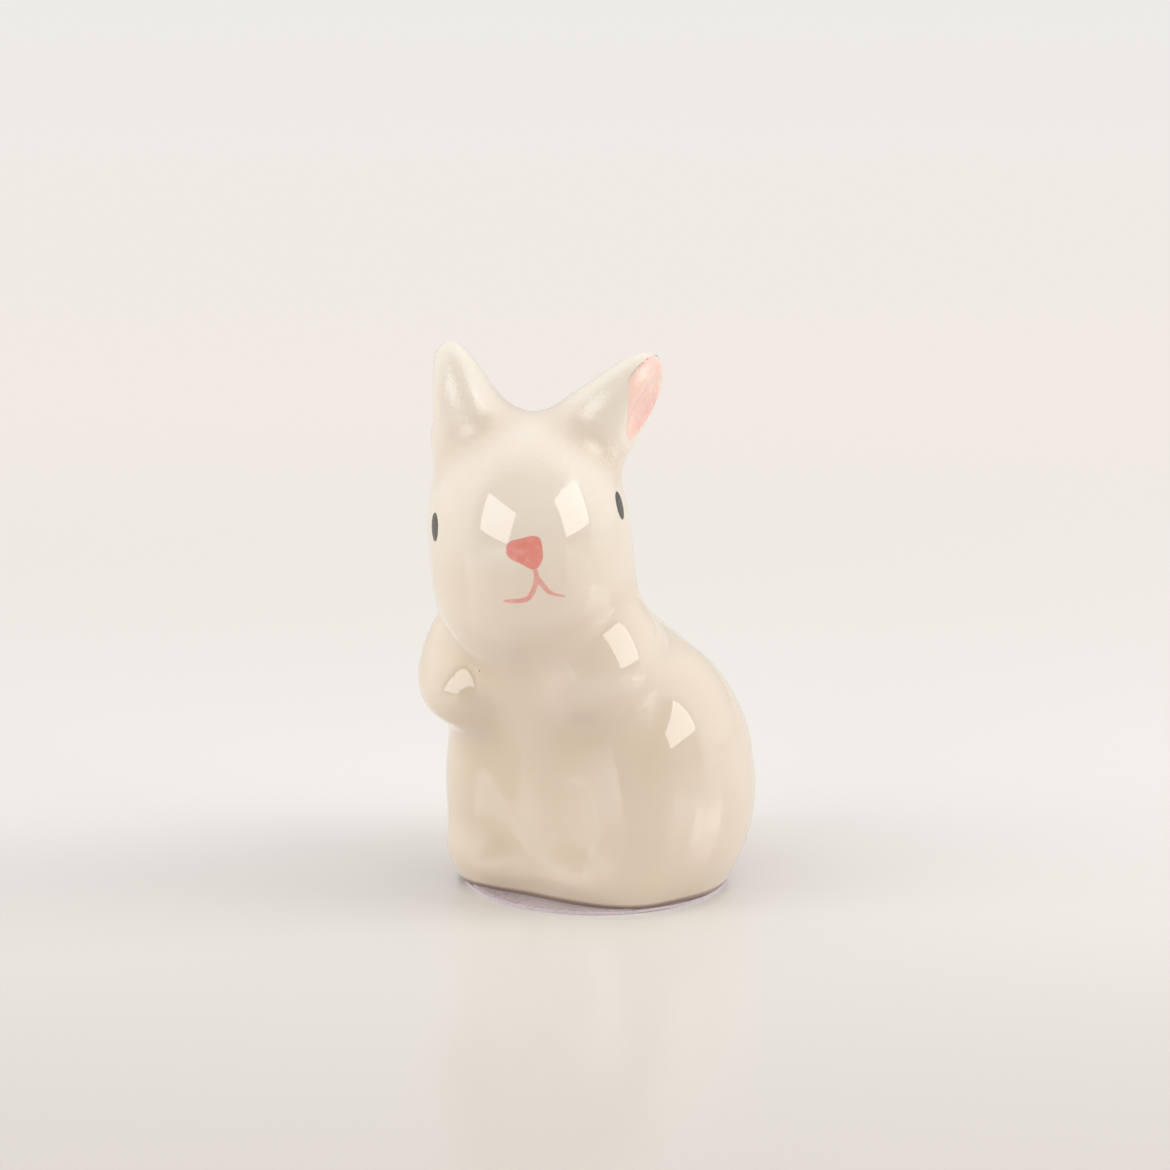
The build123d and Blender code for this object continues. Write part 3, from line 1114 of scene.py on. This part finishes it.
@dataclass
class EnamelFilm:
    """A film of enamel that follows the skin over its CAD node's outline.

    The wear is a list of shares of the film's width, seen from outside, each
    with how far the paint stays back from the outline there. The trim is the
    same over its height. Paint past the outline ends where the skin turns away.
    """

    node: str
    carrier: str
    skin: ClaySkin
    pitch: float = 0.06
    thickness: float = 0.07
    full_inside: float = 0.25
    feather: float = 0.14
    tuck: float = 0.05
    sink: float = 0.12
    wear: Sequence[tuple[float, float]] = ((0.0, 0.0), (1.0, 0.0))
    trim: Sequence[tuple[float, float]] = ((0.0, 0.0), (1.0, 0.0))
    turned: Span = (0.05, 0.5)
    turned_back: float = 1.4
    reach: float = 4.0
    start_off: float = 6.0
    fall_rounds: int = 26
    longest_fall: float = 0.5
    missed_by: float = 9.0
    outline_blur: float = 1.2

    def build(self) -> bpy.types.Object:
        """Lays the film.

        Returns:
            The film as a closed piece.
        """
        points, triangles = node_mesh(self.node)
        middle = points.mean(0)
        out, across, up = self._axes(points, middle)
        local = (points - middle) @ np.stack([across, up], 1)
        growth = -min(0.0, *(back for _, back in self.trim))
        rim = self.feather + self.tuck + 2 * self.pitch + growth
        low, high = local.min(0) - rim, local.max(0) + rim
        size = np.ceil((high - low) / self.pitch).astype(int) + 1
        u, v = (low[i] + np.arange(size[i]) * self.pitch for i in (0, 1))
        plane = middle + u[:, None, None] * across + v[None, :, None] * up
        start = plane.reshape(-1, 3) + out * self.start_off
        tree = BVHTree.FromPolygons(points.tolist(), triangles.tolist())
        hits = [tree.ray_cast(Vector(p), Vector(-out))[0] is not None for p in start]
        shares = [(way - local[:, i].min()) / np.ptp(local[:, i]) for i, way in enumerate((u, v))]
        worn = np.interp(shares[0], *zip(*self.wear))[:, None]
        worn = worn + np.interp(shares[1], *zip(*self.trim))[None, :]
        distance = self._outline(np.array(hits).reshape(size)) + worn
        return self._shell(start, -out, distance, middle)

    def _axes(self, points: Array, middle: Array) -> tuple[Array, Array, Array]:
        """Finds the way that the film faces.

        Args:
            points: The node's points.
            middle: Their mean.

        Returns:
            The outward direction and two across it.
        """
        _, _, axes = np.linalg.svd(points - middle, full_matrices=False)
        out = axes[2]
        carrier, _ = node_mesh(self.carrier)
        if out @ (middle - carrier.mean(0)) < 0:
            out = -out
        across = np.cross((0.0, 0.0, 1.0), out)
        across /= np.linalg.norm(across)
        return out, across, np.cross(out, across)

    def _outline(self, covered: Array) -> Array:
        """Measures how far each grid point lies outside the outline.

        Args:
            covered: Which points the node covers.

        Returns:
            The distance in millimetres, negative inside.
        """
        edge = np.zeros_like(covered)
        edge[:-1] |= covered[:-1] != covered[1:]
        edge[:, :-1] |= covered[:, :-1] != covered[:, 1:]
        border = np.argwhere(edge) + 0.5
        grid = np.argwhere(np.ones_like(covered)).astype(float)
        gap = np.array([np.sqrt(((border - p) ** 2).sum(1).min()) for p in grid])
        signed = gap.reshape(covered.shape) * np.where(covered, -1, 1) * self.pitch
        layers = signed[:, :, None].repeat(3, 2).astype(np.float32)
        return blurred(layers, self.outline_blur)[:, :, 1]

    def _fallen(self, start: Array, ahead: Array) -> tuple[Array, Array]:
        """Drops points on the skin.

        Args:
            start: Points in front of the skin.
            ahead: The way that they fall.

        Returns:
            Where they lie, and the skin's normal there.
        """
        spots = start.copy()
        for _ in range(self.fall_rounds):
            value, _ = self.skin.surface.read(spots)
            spots += np.clip(value, -self.longest_fall, self.longest_fall)[:, None] * ahead
        _, slope = self.skin.surface.read(spots)
        return spots, slope / np.linalg.norm(slope, axis=1)[:, None]

    def _shell(
        self, start: Array, ahead: Array, distance: Array, middle: Array
    ) -> bpy.types.Object:
        """Drops the grid on the skin and closes it into a film.

        Args:
            start: The grid's points in front of the skin.
            ahead: The way that they fall.
            distance: Each point's distance outside the outline.
            middle: The node's middle.

        Returns:
            The film.
        """
        spots, normal = self._fallen(start, ahead)
        missed = np.abs((spots - middle) @ ahead) > self.reach
        edge_on = 1 - eased(-normal @ ahead, *self.turned)
        gap = distance.ravel() + np.where(missed, self.missed_by, edge_on * self.turned_back)
        distance = gap.reshape(distance.shape)
        lift = self.thickness * (1 - eased(gap, -self.full_inside, self.feather))
        lift -= self.tuck * eased(gap, self.feather, self.feather + self.tuck)
        kept = distance < self.feather + self.tuck + self.pitch
        cell = kept[:-1, :-1] & kept[1:, :-1] & kept[1:, 1:] & kept[:-1, 1:]
        index = np.arange(distance.size).reshape(distance.shape)
        ring = (index[:-1, :-1], index[1:, :-1], index[1:, 1:], index[:-1, 1:])
        top = np.stack([r[cell] for r in ring], 1)
        count = distance.size
        walls = open_edges(top)
        sides = np.stack([walls[:, 1], walls[:, 0], walls[:, 0] + count, walls[:, 1] + count], 1)
        faces = np.concatenate([top, top[:, ::-1] + count, sides])
        points = np.concatenate([spots + normal * lift[:, None], spots - normal * self.sink])
        used, local = np.unique(faces, return_inverse=True)
        local = local.reshape(faces.shape)
        cover = 1 - eased(gap, -self.feather, self.feather)
        cover = np.concatenate([cover, np.zeros(count)])[used]
        ways = np.concatenate([normal, -normal])[used][local].reshape(-1, 3)
        attributes = {POOL_AND_SHADE: self.skin.pools(points[used]), COVER: cover}
        return new_piece(f"enamel_{self.node}", points[used], local.tolist(), attributes, ways)


def open_edges(faces: Array) -> Array:
    """Finds the directed edges that only one face has.

    Args:
        faces: Quads.

    Returns:
        The edges as pairs.
    """
    ends = np.concatenate([faces[:, [i, (i + 1) % 4]] for i in range(4)])
    key = np.sort(ends, 1)
    order = key[:, 0] * (faces.max() + 1) + key[:, 1]
    _, first, count = np.unique(order, return_index=True, return_counts=True)
    return ends[first[count == 1]]


@dataclass
class PaintedFace:
    """Eyes, nose, mouth and ear linings."""

    glaze: CreamGlaze
    skin: ClaySkin

    def films(self) -> list[tuple[EnamelFilm, BrushedEnamel, Slot]]:
        """Lists each film with its colour and its slot."""
        glaze = self.glaze
        black = BrushedEnamel("eye_enamel", tone(44, 38, 24), tone(58, 51, 36), glaze, haze=0.0)
        rose = BrushedEnamel("nose_enamel", tone(227, 137, 122), tone(231, 153, 141), glaze)
        line = BrushedEnamel(
            "mouth_enamel", tone(226, 146, 138), tone(232, 166, 156), glaze, density=0.85
        )
        lining = BrushedEnamel(
            "ear_enamel", tone(246, 196, 182), tone(248, 214, 196), glaze, streak_grain=2.0
        )
        tip = ((0.8, 0.09), (0.9, 0.13), (1.0, 0.28))
        brush = ((0.0, 0.22), (0.12, 0.06), (0.3, 0.0), (0.62, 0.0), *tip)
        lens = ((0.0, 0.35), (0.3, 0.05), (0.6, -0.5), (0.85, -1.2), (1.0, -1.4))
        eye = {"skin": self.skin, "feather": 0.08}
        ear = {"skin": self.skin, "pitch": 0.12, "feather": 0.25}
        return [
            (EnamelFilm("left_eye", "head", **eye), black, Slot.EYE),
            (EnamelFilm("right_eye", "head", **eye), black, Slot.EYE),
            (EnamelFilm("nose", "head", self.skin), rose, Slot.NOSE),
            (EnamelFilm("mouth", "head", self.skin, thickness=0.04, wear=brush), line, Slot.MOUTH),
            (EnamelFilm("left_ear_blush", "left_ear", trim=lens, **ear), lining, Slot.EAR),
            (EnamelFilm("right_ear_blush", "right_ear", **ear), lining, Slot.EAR),
        ]

    def build(self) -> None:
        """Lays each film and colours it."""
        made: dict[str, bpy.types.Material] = {}
        for film, enamel, slot in self.films():
            if enamel.name not in made:
                made[enamel.name] = enamel.build()
            place_piece(film.build(), made[enamel.name], film.node)


@dataclass
class PaperDisc:
    """Geometry nodes that cut a disc and let its rim curl, where it is loose and at the front."""

    segments: int = 192
    rings: int = 40
    weld: float = 1e-7
    wave_scale: float = 1.3
    loose_span: Span = (0.42, 0.7)
    front_span: Span = (0.0, 0.7)

    def tree(self) -> bpy.types.NodeTree:
        """Builds the tree.

        Returns:
            A tree with the disc's sizes, curl and material as inputs.
        """
        tree = bpy.data.node_groups.new("curling_disc", "GeometryNodeTree")
        for name in ("Radius", "Thickness", "Underside", "Curl", "Curl Width", "Seed"):
            tree.interface.new_socket(name, in_out="INPUT", socket_type="NodeSocketFloat")
        tree.interface.new_socket("Material", in_out="INPUT", socket_type="NodeSocketMaterial")
        tree.interface.new_socket("Geometry", in_out="OUTPUT", socket_type="NodeSocketGeometry")
        graph = Graph(tree)
        given = graph.node("NodeGroupInput")
        radius, thickness, underside, curl, width, seed, material = (
            graph.out(given, i) for i in range(7)
        )
        counts = {"Vertices X": self.segments + 1, "Vertices Y": self.rings + 1}
        sheet = {"Size X": 1.0, "Size Y": 1.0, **counts}
        grid = graph.out(graph.node("GeometryNodeMeshGrid", None, sheet), "Mesh")
        x, y, _ = graph.parts(graph.out(graph.node("GeometryNodeInputPosition")))
        turn = (x + 0.5) * -math.tau
        reach = y + 0.5
        across, along = graph.math("COSINE", turn), graph.math("SINE", turn)
        heading = graph.out(graph.node("ShaderNodeCombineXYZ", None, {0: across, 1: along}))
        waves = {"Vector": heading, "W": seed, "Scale": self.wave_scale, "Detail": 1.0}
        wave = graph.out(graph.node("ShaderNodeTexNoise", {"noise_dimensions": "4D"}, waves))
        loose = graph.step(wave, *self.loose_span) * graph.step(0 - along, *self.front_span)
        inner = 1 - graph.math("DIVIDE", width, radius)
        rise = {"Value": reach, "From Min": inner, "From Max": 1.0}
        smoother = {"interpolation_type": "SMOOTHERSTEP"}
        edge = graph.out(graph.node("ShaderNodeMapRange", smoother, rise))
        height = underside + curl * edge * loose
        spot = {0: across * reach * radius, 1: along * reach * radius, 2: height}
        placed = graph.out(graph.node("ShaderNodeCombineXYZ", None, spot))
        moved = {"Geometry": grid, "Position": placed}
        disc = graph.out(graph.node("GeometryNodeSetPosition", None, moved))
        merge = {"Geometry": disc, "Distance": self.weld}
        disc = graph.out(graph.node("GeometryNodeMergeByDistance", None, merge))
        upward = graph.out(graph.node("ShaderNodeCombineXYZ", None, {2: 1.0}))
        lift = {"Mesh": disc, "Offset": upward, "Offset Scale": thickness, "Individual": False}
        upper = graph.out(graph.node("GeometryNodeExtrudeMesh", {"mode": "FACES"}, lift))
        lower = graph.out(graph.node("GeometryNodeFlipFaces", None, {"Mesh": disc}))
        joined = graph.node("GeometryNodeJoinGeometry")
        for part in (upper, lower):
            tree.links.new(part.socket, joined.inputs[0])
        merge = {"Geometry": graph.out(joined), "Distance": self.weld}
        solid = graph.out(graph.node("GeometryNodeMergeByDistance", None, merge))
        real = graph.out(graph.node("GeometryNodeRealizeInstances", None, {"Geometry": solid}))
        coated = {"Geometry": real, "Material": material}
        coated = graph.out(graph.node("GeometryNodeSetMaterial", None, coated))
        graph.node("NodeGroupOutput", None, {0: coated})
        return tree

    def cut(
        self, tree: bpy.types.NodeTree, name: str, inputs: Mapping[str, Any]
    ) -> bpy.types.Object:
        """Cuts one disc and leaves it a plain mesh.

        Args:
            tree: The tree.
            name: The piece's name.
            inputs: The tree's inputs by name.

        Returns:
            The piece.
        """
        made = bpy.data.objects.new(name, bpy.data.meshes.new(name))
        bpy.context.scene.collection.objects.link(made)
        modifier = made.modifiers.new("disc", "NODES")
        modifier.node_group = tree
        for item in tree.interface.items_tree:
            if item.in_out == "INPUT":
                modifier[item.identifier] = inputs[item.name]
        result = made.evaluated_get(bpy.context.evaluated_depsgraph_get())
        mesh = bpy.data.meshes.new_from_object(result)
        made.modifiers.clear()
        made.data = mesh
        mesh.name = name
        return made


@dataclass
class BaseLabel:
    """The round paper label under the base, and the adhesive on it."""

    curl: float = 0.1
    curl_width: float = 1.6
    seed: float = 3.0

    def build(self) -> None:
        """Cuts label and adhesive and lays them in their nodes' places."""
        discs = PaperDisc()
        tree = discs.tree()
        for node, finish, slot in (
            ("base_label", LabelPaper(), Slot.PAPER),
            ("label_adhesive", LabelGlue(), Slot.GLUE),
        ):
            low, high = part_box(node)
            material = finish.build()
            inputs = {
                "Radius": (high.x - low.x) / 2,
                "Thickness": high.z - low.z,
                "Underside": low.z,
                "Curl": self.curl * MM,
                "Curl Width": self.curl_width * MM,
                "Seed": self.seed,
                "Material": material,
            }
            place_piece(discs.cut(tree, f"{node}_disc", inputs), material, node)


@dataclass(frozen=True)
class Softbox:
    """An area lamp that faces the aim, with angles in degrees, sizes in metres, power in watts."""

    name: str
    azimuth: float
    elevation: float
    size: tuple[float, float]
    power: float
    roll: float = 0.0
    colour: Colour = (1.0, 1.0, 1.0)


@dataclass(frozen=True)
class Glow:
    """A soft area of the room about a direction in degrees, with its span and its level."""

    azimuth: float
    elevation: float
    span: Span
    level: float


COOL: Colour = (0.98, 1.0, 1.03)


@dataclass
class Studio:
    """Pale floor, two softboxes, two lamps for the floor alone, a softly lit room and the camera.

    The aim, the distance and the shifts are millimetres. Spans over the floor
    are metres behind the object, as the camera stands.
    """

    azimuth: float = 36.0
    elevation: float = 13.0
    distance: float = 400.0
    aim: tuple[float, float, float] = (0.0, 0.0, 25.0)
    shift_right: float = -1.034
    shift_up: float = 3.37
    lens: float = 130.9
    clip_start: float = 0.01
    lamp_distance: float = 0.7
    softboxes: Sequence[Softbox] = (
        Softbox("left_softbox", -3.0, 19.0, (0.46, 0.39), 2.05, -12.0),
        Softbox("right_softbox", 98.0, 24.0, (0.42, 0.43), 2.1, 8.0),
    )
    rakes: Sequence[Softbox] = (
        Softbox("left_rake", -34.0, 25.0, (0.35, 0.3), 2.0, colour=COOL),
        Softbox("right_rake", 122.0, 25.0, (0.35, 0.3), 3.2, colour=COOL),
    )
    daylight: Colour = tone(240, 241, 243)
    room_level: float = 0.7
    glows: Sequence[Glow] = (
        Glow(0.0, 90.0, (0.1, 0.9), 0.62),
        Glow(-58.0, 22.0, (0.5, 1.0), 0.68),
        Glow(130.0, 22.0, (0.55, 1.0), 0.95),
    )
    shade: Glow = Glow(42.0, 0.0, (0.12, 0.34), 0.85)
    backdrop: Colour = tone(241, 238, 234)
    # painted shade: the floor is darker in front of the object and beside it
    shaded_near_floor: Colour = tone(209, 202, 193)
    middle_floor: Colour = tone(238, 232, 225)
    far_floor: Colour = tone(236, 233, 230)
    # where the painted shade of the floor in front fades into the middle tone
    near_shade_span: Span = (-0.088, 0.035)
    far_span: Span = (0.2, 0.9)
    floor_radius: float = 3.0
    floor_sides: int = 96
    floor_darkening: float = 0.28
    floor_roughness: float = 0.16
    floor_grain: float = 40.0
    grain_roughness: float = 0.04
    even_level: float = 1.03
    even_span: Span = (0.0, 0.25)
    even_share: float = 0.1
    even_rise: float = 0.85

    @staticmethod
    def heading(azimuth: float, elevation: float) -> Vector:
        """Returns the way from the aim to a place round it, in degrees."""
        a, e = math.radians(azimuth), math.radians(elevation)
        return Vector((math.sin(a) * math.cos(e), -math.cos(a) * math.cos(e), math.sin(e)))

    def build(self) -> None:
        """Sets up the studio."""
        scene = bpy.context.scene
        scene.view_settings.view_transform = "Standard"
        self._camera(scene)
        self._world(scene)
        raked = bpy.data.collections.new("raked_floor")
        raked.objects.link(self._floor())
        for softbox in self.softboxes:
            self._lamp(softbox)
        for rake in self.rakes:
            self._lamp(rake).light_linking.receiver_collection = raked

    def _look(self, thing: bpy.types.Object, back: Vector, distance: float, roll: float) -> None:
        """Places a lamp or the camera so that it looks at the aim.

        Args:
            thing: The lamp or camera.
            back: The way from the aim to it.
            distance: How far it is, in metres.
            roll: Its turn about its own line of sight, in degrees.
        """
        turn = back.to_track_quat("Z", "Y").to_matrix().to_4x4()
        turn = turn @ Matrix.Rotation(math.radians(roll), 4, "Z")
        thing.matrix_world = Matrix.Translation(Vector(self.aim) * MM + back * distance) @ turn

    def _camera(self, scene: bpy.types.Scene) -> None:
        """Adds the camera at the photograph's angle.

        Args:
            scene: The scene.
        """
        data = bpy.data.cameras.new("camera")
        data.lens = self.lens
        data.clip_start = self.clip_start
        camera = bpy.data.objects.new("camera", data)
        scene.collection.objects.link(camera)
        self._look(camera, self.heading(self.azimuth, self.elevation), self.distance * MM, 0.0)
        turn = camera.matrix_world.to_3x3()
        camera.location += (turn.col[0] * self.shift_right + turn.col[1] * self.shift_up) * MM
        scene.camera = camera

    def _lamp(self, softbox: Softbox) -> bpy.types.Object:
        """Adds a softbox.

        Args:
            softbox: What it is and where it stands.

        Returns:
            The lamp.
        """
        data = bpy.data.lights.new(softbox.name, "AREA")
        data.shape = "RECTANGLE"
        data.size, data.size_y = softbox.size
        data.energy = softbox.power
        data.color = softbox.colour
        lamp = bpy.data.objects.new(softbox.name, data)
        bpy.context.scene.collection.objects.link(lamp)
        lamp.visible_camera = False
        back = self.heading(softbox.azimuth, softbox.elevation)
        self._look(lamp, back, self.lamp_distance, softbox.roll)
        return lamp

    def _toward(self, graph: Graph, way: Value, glow: Glow) -> Value:
        """Says how much of a glow lies in a direction.

        Args:
            graph: The world's graph.
            way: The direction.
            glow: The glow.

        Returns:
            The share, from 0 to 1.
        """
        middle = self.heading(glow.azimuth, glow.elevation)
        return graph.step(graph.vector("DOT_PRODUCT", way, middle, output="Value"), *glow.span)

    def _world(self, scene: bpy.types.Scene) -> None:
        """Makes the room: a plain backdrop for the camera, broad soft light for the object.

        Args:
            scene: The scene.
        """
        world = bpy.data.worlds.new("room")
        world.use_nodes = True
        world.node_tree.nodes.clear()
        scene.world = world
        graph = Graph(world.node_tree)
        seen = graph.rays("Is Camera Ray", "Is Transmission Ray")
        way = graph.out(graph.node("ShaderNodeTexCoord"), "Generated")
        room = self.room_level
        for glow in self.glows:
            room = room + self._toward(graph, way, glow) * glow.level
        room = room * (1 - self._toward(graph, way, self.shade) * self.shade.level)
        light = {"Color": (*self.daylight, 1.0), "Strength": room}
        shown = {"Color": (*self.backdrop, 1.0), "Strength": 1.0}
        lit, plain = (
            graph.out(graph.node("ShaderNodeBackground", None, side)) for side in (light, shown)
        )
        both = graph.out(graph.node("ShaderNodeMixShader", None, {0: seen, 1: lit, 2: plain}))
        graph.node("ShaderNodeOutputWorld", None, {"Surface": both})

    def _floor(self) -> bpy.types.Object:
        """Lays the floor, with painted shade in front of and beside the object, and returns it."""
        mesh = bpy.data.meshes.new("floor")
        turns = [math.tau * i / self.floor_sides for i in range(self.floor_sides)]
        reach = self.floor_radius
        rim = [(math.cos(t) * reach, math.sin(t) * reach, 0.0) for t in turns]
        mesh.from_pydata(rim, [], [list(range(self.floor_sides))])
        floor = bpy.data.objects.new("floor", mesh)
        bpy.context.scene.collection.objects.link(floor)
        material, graph = new_material("floor_sheet")
        position = graph.place()
        grain = graph.noise(position, self.floor_grain, 2.0, 2.0)
        x, y, _ = graph.parts(position)
        back = -self.heading(self.azimuth, 0.0)
        depth = x * back.x + y * back.y
        # painted shade: darker floor in front of and beside the object
        plain = graph.mix(graph.step(depth, *self.near_shade_span), self.shaded_near_floor, self.middle_floor)
        plain = graph.mix(graph.step(depth, *self.far_span), plain, self.far_floor)
        sheet = {
            "Base Color": graph.mix(self.floor_darkening, plain, BLACK),
            "Roughness": self.floor_roughness + grain * self.grain_roughness,
        }
        lit = graph.out(graph.node("ShaderNodeBsdfPrincipled", None, sheet))
        glow = {"Color": plain, "Strength": self.even_level}
        even = graph.out(graph.node("ShaderNodeEmission", None, glow))
        unlit = graph.rays("Is Camera Ray", "Is Glossy Ray", "Is Transmission Ray")
        share = unlit * (self.even_share + graph.step(depth, *self.even_span) * self.even_rise)
        both = graph.out(graph.node("ShaderNodeMixShader", None, {0: share, 1: lit, 2: even}))
        graph.node("ShaderNodeOutputMaterial", None, {"Surface": both})
        mesh.materials.append(material)
        return floor


def main() -> None:
    """Builds the rabbit and its studio."""
    logging.basicConfig(level=logging.INFO, format="%(name)s: %(message)s")
    Studio().build()
    glaze = CreamGlaze()
    body = GlazedBody(glaze)
    body.dress(body.build())
    PaintedFace(glaze, body.skin).build()
    BaseLabel().build()


if __name__ == "__main__":
    main()
